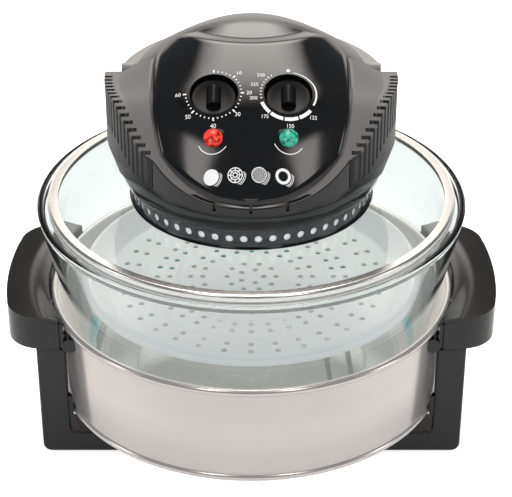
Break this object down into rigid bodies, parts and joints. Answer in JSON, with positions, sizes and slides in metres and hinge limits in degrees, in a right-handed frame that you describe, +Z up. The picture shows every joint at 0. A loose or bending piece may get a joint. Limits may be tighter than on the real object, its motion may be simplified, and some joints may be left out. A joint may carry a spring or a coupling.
{
  "type": "halogen oven",
  "caption": "Countertop halogen oven: glass bowl in a steel pan on a handled stand, lift-off lid with lamp and fan head, dials, folding carrying handle, wire rack and perforated tray.",
  "frame": {"origin": "on the table under the middle of the bowl", "axes": "+Z up, front with the dials towards -Y, +X to the right seen from the front"},
  "size_m": [0.396, 0.34, 0.3303],
  "materials": {
    "satin_black": "satin moulded",
    "gloss_black": "high gloss",
    "grey_black": "gloss",
    "dark_rubber": "matte",
    "silicone": "satin",
    "polished_steel": "mirror polished",
    "trim_steel": "fine brushed",
    "wire_chrome": "bright",
    "tray_aluminium": "satin",
    "clear_glass": "clear",
    "quartz": "clear",
    "red_lens": "gloss",
    "green_lens": "gloss",
    "ceramic": "matte",
    "copper": "satin",
    "brass": "satin",
    "zinc_steel": "zinc plated",
    "laminated_steel": "varnished",
    "ivory_plastic": "matte",
    "blue_plastic": "matte"
  },
  "bodies": {
    "stand": {"front_frame": "satin_black", "rear_frame": "satin_black", "left_handle": "satin_black", "right_handle": "satin_black", "handle_screws": "zinc_steel", "rim_lugs": "satin_black", "pan_brackets": "satin_black", "rubber_feet": "dark_rubber", "steel_pan": "polished_steel"},
    "bowl": {"glass_bowl": "clear_glass"},
    "rack": {"wire_rack": "wire_chrome", "rack_legs": "wire_chrome"},
    "tray": {"baking_tray": "tray_aluminium"},
    "handle": {"carry_handle": "satin_black"},
    "timer_dial": {"timer_knob": "gloss_black", "timer_spindle": "zinc_steel"},
    "thermostat_dial": {"thermostat_knob": "gloss_black", "thermostat_spindle": "zinc_steel"},
    "rotor": {"motor_shaft": "zinc_steel", "motor_rotor": "laminated_steel", "cooling_fan": "ivory_plastic", "convection_fan": "trim_steel", "fan_nut": "brass"},
    "plunger": {"switch_plunger": "ivory_plastic"},
    "lid": {"lid_glass": "clear_glass", "lid_trim_ring": "trim_steel", "lid_seal": "silicone", "vent_collar": "wire_chrome", "heater_can": "trim_steel", "guard_grille": "wire_chrome", "halogen_lamp": "quartz", "lamp_holders": "ceramic", "thermostat_bulb": "copper", "head_drum": "gloss_black", "heat_shield": "zinc_steel", "hood": "grey_black", "left_side_vent": "satin_black", "right_side_vent": "satin_black", "control_panel": "gloss_black", "red_lens": "red_lens", "green_lens": "green_lens", "indicator_bulbs": "quartz", "timer_unit": "brass", "thermostat_unit": "zinc_steel", "motor_stator": "laminated_steel", "motor_brackets": "zinc_steel", "motor_bridge": "zinc_steel", "safety_switch": "blue_plastic", "thermal_fuse": "ceramic", "terminal_block": "ivory_plastic", "power_inlet": "satin_black", "inlet_pins": "brass", "pivot_pins": "zinc_steel", "head_screws": "zinc_steel"}
  },
  "joints": [
    {"name": "bowl_lift", "type": "slide", "parent": "stand", "child": "bowl", "axis": [0, 0, 1], "range_m": [0, 0.1]},
    {"name": "rack_lift", "type": "slide", "parent": "bowl", "child": "rack", "axis": [0, 0, 1], "range_m": [0, 0.16]},
    {"name": "tray_lift", "type": "slide", "parent": "rack", "child": "tray", "axis": [0, 0, 1], "range_m": [0, 0.1]},
    {"name": "lid_lift", "type": "slide", "parent": "tray", "child": "lid", "axis": [0, 0, 1], "range_m": [0, 0.12]},
    {"name": "handle_fold", "type": "hinge", "parent": "lid", "child": "handle", "pos_m": [0, 0.022, 0.299], "axis": [1, 0, 0], "range_deg": [0, 90]},
    {"name": "timer_turn", "type": "hinge", "parent": "lid", "child": "timer_dial", "pos_m": [-0.028, -0.0389, 0.30669], "axis": [0, -0.5, 0.866], "range_deg": [-270, 0]},
    {"name": "thermostat_turn", "type": "hinge", "parent": "lid", "child": "thermostat_dial", "pos_m": [0.028, -0.0389, 0.30669], "axis": [0, -0.5, 0.866], "range_deg": [-300, 0]},
    {"name": "fan_spin", "type": "hinge", "parent": "lid", "child": "rotor", "pos_m": [0, 0, 0.243], "axis": [0, 0, 1], "continuous": true},
    {"name": "plunger_push", "type": "slide", "parent": "lid", "child": "plunger", "axis": [0, 0, 1], "range_m": [0, 0.002]}
  ],
  "couplings": [
    {"joint": "plunger_push", "follows": "handle_fold", "m_per_rad": 0.00127}
  ]
}
